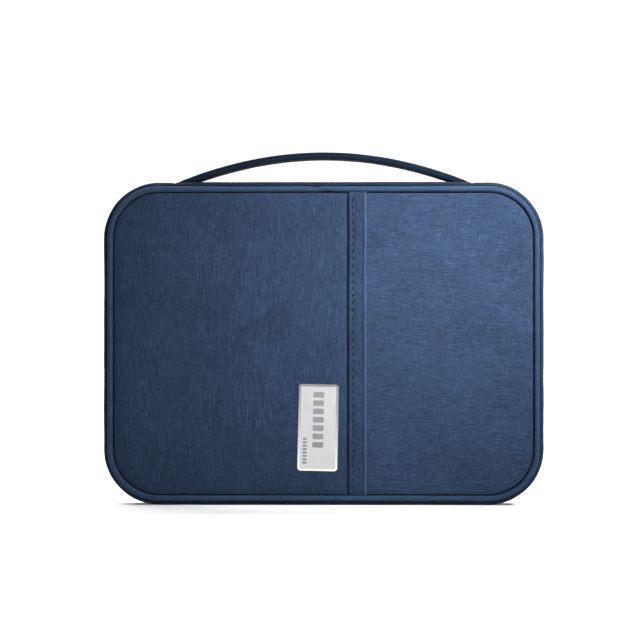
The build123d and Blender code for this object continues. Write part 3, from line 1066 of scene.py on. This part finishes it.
def inner_panel(node, facing, body, puff, material=pocket_fabric, radius=3.0):
    """A sewn pocket: rounded, slightly puffed, stitched on three sides, hemmed at its mouth."""
    low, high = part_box(node)
    x0, x1, z0, z1 = low[0] / MM, high[0] / MM, low[2] / MM, high[2] / MM
    back, front = [corner[1] / MM for corner in ((high, low) if facing < 0 else (low, high))]
    columns = spread(x0, x1, 0.35, 6.0)

    def pull_in(x, z):
        """Rounds the panel's corners."""
        over_x = max(x0 + radius - x, x - (x1 - radius), 0)
        over_z = max(z0 + radius - z, z - (z1 - radius), 0)
        if not (over_x and over_z):
            return x, z
        k = max(over_x, over_z) / math.hypot(over_x, over_z)
        return (
            x + math.copysign(over_x - over_x * k, (x0 + x1) / 2 - x),
            z + math.copysign(over_z - over_z * k, (z0 + z1) / 2 - z),
        )

    build = Build()
    rows = []
    for z in spread(z0, z1, 0.35, 6.0):
        row = []
        for x in columns:
            px, pz = pull_in(x, z)
            edge = min(x - x0, x1 - x, z - z0, z1 - z)
            dome = puff * (1 - math.exp(-max(edge - 2.2, 0) / 14.0))
            swell = dome * (0.8 + 0.3 * ripple(x, back, z, 30.0, 1.3))
            roll = (front - back) * roll_up(edge, 0.8)
            lip = 0.25 * facing * bell(x1 - x - 2.0, 1.6)
            groove = -0.12 * facing * bell(edge - 1.9, 0.7)
            crease = 0.05 * ripple(x, back, z, 7.0, 6.1) * min(edge, 1.0)
            row.append((px, back + roll + facing * (swell + crease) + lip + groove, pz))
        rows.append(row)
    build.grid(rows)
    bind_mouth(build, columns, x1)
    y = front + facing * 0.02
    inset = 1.9
    for (ax, az), (bx, bz) in (
        ((x0 + inset, z1 - radius), (x0 + inset, z0 + radius)),
        ((x0 + radius, z0 + inset), (x1 - 1, z0 + inset)),
        ((x0 + radius, z1 - inset), (x1 - 1, z1 - inset)),
        ((x1 - 3.4, z0 + 1.5), (x1 - 3.4, z1 - 1.5)),
    ):
        line = straight((ax, y, az), (bx, y, bz), 20)
        build.stitch_row(line, (0, facing, 0), 3.3, 1, width=POCKET_THREAD)
    obj = build.make(node + "_fabric", [material, thread_light, binding_fabric])
    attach(obj, body)
    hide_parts(node)


def cut_to_outline(node, facing, body, inset, puff, mouth=None):
    """A layer that fills the cover out to its rounded outline, or only as far as its mouth."""
    low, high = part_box(node)
    build = Build()
    back, front = [corner[1] / MM for corner in ((high, low) if facing < 0 else (low, high))]
    rows = []
    for line in cover_rows(-half_width, mouth or half_width, inset, 5.0):
        row = []
        for x, z in line:
            edge = depth_inside(x, z, inset)
            lip = 0.0
            if mouth:
                edge = min(edge, mouth - x)
                lip = 0.25 * facing * bell(mouth - x - 2.0, 1.6)
            dome = puff * (1 - math.exp(-max(edge, 0) / 18.0))
            swell = dome * (0.8 + 0.4 * ripple(x, back, z, 40.0, 2.1))
            crease = 0.06 * ripple(x, back, z, 9.0, 4.1) * min(max(edge, 0), 1.0)
            roll = (front - back) * roll_up(edge, 0.8)
            row.append((x, back + roll + facing * (swell + crease) + lip, z))
        rows.append(row)
    build.grid(rows)
    if mouth:
        bind_mouth(build, [x for x, _, _ in rows[len(rows) // 2]], mouth)
        x, y = mouth - 3.4, front + facing * 0.03
        line = straight((x, y, inset + 2), (x, y, height - inset - 2), 40)
        build.stitch_row(line, (0, facing, 0), 3.3, 1, width=POCKET_THREAD)
    fabric = pocket_fabric if mouth else lining_fabric
    obj = build.make(node + "_fabric", [fabric, thread_light, binding_fabric])
    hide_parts(node)
    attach(obj, body)


cut_to_outline("back_lining", -1, "back_half", lining_inset, 0.1)
cut_to_outline("front_lining", 1, "front_half", lining_inset, 0.1)
document_edge, ticket_edge = [
    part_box(node)[1][0] / MM for node in ("document_pocket", "ticket_pocket")
]
cut_to_outline("document_pocket", -1, "back_half", lining_inset + 1, 0.05, document_edge)
cut_to_outline("ticket_pocket", 1, "front_half", lining_inset + 1, 0.05, ticket_edge)

inner_panel("narrow_pocket", -1, "back_half", 0.3)
for index in (1, 2, 3):
    inner_panel("card_slot_%d" % index, -1, "back_half", 0.03)
inner_panel("passport_pocket", 1, "front_half", 0.3)
inner_panel("window_pocket", 1, "front_half", 0.15, material=film_material)
inner_panel("divider_pocket_front", -1, "divider", 0.3)
inner_panel("divider_pocket_back", 1, "divider", 0.3)


def page_fabric():
    """The divider page: two faces of fabric round a stiff core, bound along its edge."""
    build = Build()
    low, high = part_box("divider_page")
    left, right, half_thick = low[0] / MM, high[0] / MM, high[1] / MM
    radius = corner_radius - (half_width - right)
    small = 12  # the radius of the two upper corners
    flap_half = 84.0
    flap_top = high[2] / MM
    top = flap_top - 20.0
    ring = arc((-corner_x, corner_radius), radius, 180, 12)
    ring += arc((corner_x, corner_radius), radius, 270, 12)
    ring += arc((right - small, top - small), small, 0, 8)
    ring += [(flap_half + 3, top), (flap_half, top + 3), (flap_half, flap_top - 0.5)]
    ring += [(-flap_half, flap_top - 0.5), (-flap_half, top + 3), (-flap_half - 3, top)]
    ring += arc((left + small, top - small), small, 90, 8)
    middle = top / 2
    for facing in (-1, 1):
        loops = []
        for share in (1.0, 0.985, 0.95, 0.8, 0.6, 0.4, 0.2):
            loop = []
            for x, z in ring:
                px, pz = x * share, middle + (z - middle) * share
                lift = half_thick * (0.55 if share == 1.0 else 1.0)
                loop.append((px, facing * (lift + 0.02 * ripple(px, facing, pz, 20.0, 3.0)), pz))
            loops.append(loop)
        first = build.grid(loops, close_columns=True)
        build.cap(first + (len(loops) - 1) * len(ring), len(ring))
    build.tube([(x, 0, z) for x, z in ring], 0.75, 8, 1, closed=True)
    page = build.make("divider_page_fabric", [lining_fabric, binding_fabric])
    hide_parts("divider_page")
    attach(page, "divider")


page_fabric()


def seam_binding(name, side, body):
    """The tape that binds the seam inside one cover, between its lining and the gusset."""
    build = Build()
    section = (
        (7.9, 8.15), (7.4, 7.75), (6.2, 7.65), (5.0, 7.9), (4.3, 8.5), (4.2, 9.3), (5.2, 9.0),
        (7.2, 8.8),
    )
    path = outline(0.0, 2.4)

    def wave(x, y, z):
        return (0.1 * ripple(x, y, z, 8.0, 2.0), 0.08 * ripple(x, y, z, 5.0, 9.0))

    band(build, path, [(d, side * y) for d, y in section], wave=wave)
    line = [(x - nx * 6.6, side * 7.62, z - nz * 6.6) for x, z, nx, nz in path]
    build.stitch_row(line, (0, -side, 0), 3.2, 1, width=POCKET_THREAD)
    obj = build.make(name, [binding_fabric, thread_navy])
    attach(obj, body)


seam_binding("front_seam_binding", -1, "front_half")
seam_binding("back_seam_binding", 1, "back_half")


def elastic_loop():
    """The flat elastic loop for a pen, with fine ribs across it."""
    low, high = [[v / MM for v in corner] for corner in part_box("pen_loop")]
    build = Build()
    middle_y, middle_z = (low[1] + high[1]) / 2, (low[2] + high[2]) / 2
    half_y, half_z = (high[1] - low[1]) / 2, (high[2] - low[2]) / 2
    ribs = 22
    power = 2 / 3.2  # squares off the oval section
    sleeves = []
    for inset, rib in ((0.0, 0.08), (0.75, 0.0)):
        sleeve = []
        for i in range(ribs + 1):
            x = low[0] + (high[0] - low[0]) * i / ribs
            loop = []
            for k in range(24):
                angle = 2 * math.pi * k / 24
                c, s = math.cos(angle), math.sin(angle)
                ry = abs(s) ** power * (1 if s > 0 else -1)
                rz = abs(c) ** power * (1 if c > 0 else -1)
                y = middle_y + ry * (half_y - inset - rib * (i % 2))
                loop.append((x, y, middle_z + rz * (half_z - inset)))
            sleeve.append(loop)
        sleeves.append(sleeve)
    outer, inner = sleeves
    for rows in (outer, inner, [outer[0], inner[0]], [outer[-1], inner[-1]]):
        build.grid(rows, close_columns=True)
    obj = build.make("pen_loop_elastic", [elastic_fabric])
    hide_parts("pen_loop")
    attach(obj, "back_half")


elastic_loop()


def spine_inside():
    """The spine's lining, seen when the case is open."""
    build = Build()
    low, high = [[v / MM for v in corner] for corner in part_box("spine_lining")]
    rows = []
    for i in range(61):
        x = low[0] + (high[0] - low[0]) * i / 60
        row = []
        for y in spread(low[1], high[1], 0.4, 3.0):
            edge = min(y - low[1], high[1] - y)
            z = high[2] - (high[2] - low[2]) * roll_up(edge, 0.8) + 0.06 * ripple(x, y, 0, 8.0, 2.0)
            row.append((x, y, z))
        rows.append(row)
    build.grid(rows)
    obj = build.make("spine_lining_fabric", [lining_fabric])
    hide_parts("spine_lining")
    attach(obj, "spine")


spine_inside()
# ---------------------------------------------------------------- stage, light and camera


def floor_and_backdrop():
    """A pale sweep: floor in front, curving up behind the case."""
    build = Build()
    profile = [(y, 0) for y in (-6000, -1500, -300, 300, 1500, 2600)]
    profile += arc((2600, 1200), 1200, -90, 8) + [(3800, 3000), (3800, 7000)]
    rows = []
    for x in (-9000, -3000, -800, 0, 800, 3000, 9000):
        rows.append([(x, y, z - 0.05) for y, z in profile])
    build.grid(rows)
    material, tree, shader, place = node_set("studio_paper")
    cloud = noise_at(tree, place, (3, 3, 3))
    stops = [(0.3, (0.90, 0.90, 0.90)), (0.7, (0.93, 0.93, 0.93))]
    fill(tree, shader, {"Base Color": ramp(tree, cloud, stops), "Roughness": 0.9})
    build.make("studio_sweep", [material])


def area_light(name, place, target, size, power, spread=180):
    """A rectangular lamp at a place, turned to a target, both in metres."""
    data = bpy.data.lights.new(name, "AREA")
    data.shape = "RECTANGLE"
    data.size, data.size_y = size
    data.energy = power
    data.spread = math.radians(spread)
    obj = bpy.data.objects.new(name, data)
    obj.location = place
    obj.rotation_euler = (Vector(target) - Vector(place)).to_track_quat("-Z", "Y").to_euler()
    obj.visible_camera = False
    bpy.context.scene.collection.objects.link(obj)


floor_and_backdrop()
case_middle = (0, 0, height / 2 * MM)
area_light("key_top_right", (0.35, -0.50, 0.42), (0.06, 0, 0.165), (0.14, 0.14), 1.0, spread=38)
area_light("top_strip", (0.05, 0.0, 0.75), (0.0, 0.02, 0.1), (0.8, 0.2), 2)
area_light("fill_left", (-0.9, -1.3, 0.5), case_middle, (1.0, 1.2), 0.6)
area_light("floor_wash", (0.0, 1.2, 2.0), (0, 0.2, 0), (4.0, 1.2), 105)
area_light("backdrop_wash", (0.0, 1.2, 2.4), (0, 3.6, 0.9), (3.0, 1.0), 95)

world = bpy.data.worlds.new("studio")
world.use_nodes = True
world.node_tree.nodes["Background"].inputs["Color"].default_value = (1, 1, 1, 1)
world.node_tree.nodes["Background"].inputs["Strength"].default_value = 0.2
bpy.context.scene.world = world
bpy.context.scene.view_settings.view_transform = "Standard"

camera_data = bpy.data.cameras.new("camera")
camera = bpy.data.objects.new("camera", camera_data)
bpy.context.scene.collection.objects.link(camera)
bpy.context.scene.camera = camera
distance = 1.5
view_width = 0.3769  # of the picture, at the front cover
front_plane = -0.0135
aim = Vector((-0.0019, front_plane, 0.1091))
swing = math.radians(1.2)
tilt = math.radians(-0.5)
camera_data.sensor_width = 36.0
camera_data.lens = 36.0 * distance / view_width
level = math.cos(tilt)
direction = Vector((math.sin(swing) * level, -math.cos(swing) * level, math.sin(tilt)))
camera.location = aim + direction * distance
camera.rotation_euler = (-direction).to_track_quat("-Z", "Y").to_euler()
